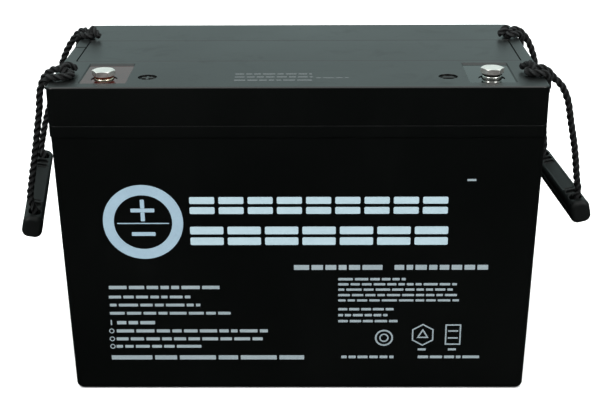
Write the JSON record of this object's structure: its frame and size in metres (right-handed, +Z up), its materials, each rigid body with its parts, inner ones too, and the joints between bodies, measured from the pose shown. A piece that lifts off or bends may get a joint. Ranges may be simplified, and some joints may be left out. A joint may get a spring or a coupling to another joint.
{
  "type": "deep cycle battery",
  "caption": "Sealed lead-acid battery block with lid, vent strip, bolt terminals in shallow pads, and swinging rope handles with moulded grips.",
  "frame": {"origin": "middle of the case's flat underside", "axes": "+Z up through the lid, +X to the right of the printed front, -Y out of the printed front"},
  "size_m": [0.3899, 0.168, 0.2215],
  "materials": {
    "case": "black ABS, fine satin",
    "lid": "black ABS, semi-gloss",
    "rubber": "black moulded rubber",
    "lead": "dull cast lead",
    "plates": "pasted lead dioxide, brown",
    "glass_mat": "white absorbent glass mat",
    "post": "tinned brass, bright",
    "bolt": "bright plated steel",
    "washer": "dark spring steel",
    "resin_red": "red sealing resin",
    "resin_black": "black sealing resin",
    "rope": "black three-strand laid rope",
    "grip": "black moulded polypropylene",
    "sealant": "cured sealing compound"
  },
  "bodies": {
    "root": {"container": "case", "lid": "lid", "vent_cover": "lid", "lid_seal": "sealant", "valve_cap_1": "rubber", "positive_plates_1": "plates", "negative_plates_1": "lead", "separator_1": "glass_mat", "valve_cap_2": "rubber", "positive_plates_2": "plates", "negative_plates_2": "lead", "separator_2": "glass_mat", "valve_cap_3": "rubber", "positive_plates_3": "plates", "negative_plates_3": "lead", "separator_3": "glass_mat", "valve_cap_4": "rubber", "positive_plates_4": "plates", "negative_plates_4": "lead", "separator_4": "glass_mat", "valve_cap_5": "rubber", "positive_plates_5": "plates", "negative_plates_5": "lead", "separator_5": "glass_mat", "valve_cap_6": "rubber", "positive_plates_6": "plates", "negative_plates_6": "lead", "separator_6": "glass_mat", "intercell_weld_1": "lead", "intercell_weld_2": "lead", "intercell_weld_3": "lead", "intercell_weld_4": "lead", "intercell_weld_5": "lead", "positive_pillar": "lead", "positive_post": "post", "positive_o_ring": "rubber", "positive_seal_ring": "resin_red", "negative_pillar": "lead", "negative_post": "post", "negative_o_ring": "rubber", "negative_seal_ring": "resin_black", "left_front_knot": "rope", "left_back_knot": "rope", "right_front_knot": "rope", "right_back_knot": "rope"},
    "left_handle": {"left_rope": "rope", "left_grip": "grip"},
    "right_handle": {"right_rope": "rope", "right_grip": "grip"},
    "positive_washer": {"positive_lock_washer": "washer"},
    "negative_washer": {"negative_lock_washer": "washer"},
    "positive_bolt": {"positive_bolt": "bolt"},
    "negative_bolt": {"negative_bolt": "bolt"}
  },
  "joints": [
    {"name": "left_handle_swing", "type": "hinge", "parent": "root", "child": "left_handle", "pos_m": [-0.162, 0.001, 0.2087], "axis": [0, 1, 0], "range_deg": [-8, 165], "deforming": ["left_rope"]},
    {"name": "right_handle_swing", "type": "hinge", "parent": "root", "child": "right_handle", "pos_m": [0.162, 0.0005, 0.2087], "axis": [0, -1, 0], "range_deg": [-8, 165], "deforming": ["right_rope"]},
    {"name": "positive_bolt_rise", "type": "slide", "parent": "root", "child": "positive_washer", "axis": [0, 0, 1], "range_m": [0, 0.01001]},
    {"name": "positive_bolt_turn", "type": "hinge", "parent": "positive_washer", "child": "positive_bolt", "pos_m": [-0.1215, -0.0612, 0.2155], "axis": [0, 0, 1], "range_deg": [0, 2880]},
    {"name": "negative_bolt_rise", "type": "slide", "parent": "root", "child": "negative_washer", "axis": [0, 0, 1], "range_m": [0, 0.01001]},
    {"name": "negative_bolt_turn", "type": "hinge", "parent": "negative_washer", "child": "negative_bolt", "pos_m": [0.1215, -0.0612, 0.2165], "axis": [0, 0, 1], "range_deg": [0, 2880]}
  ],
  "couplings": [
    {"joint": "positive_bolt_rise", "follows": "positive_bolt_turn", "m_per_rad": 0.00019894},
    {"joint": "negative_bolt_rise", "follows": "negative_bolt_turn", "m_per_rad": 0.00019894}
  ]
}
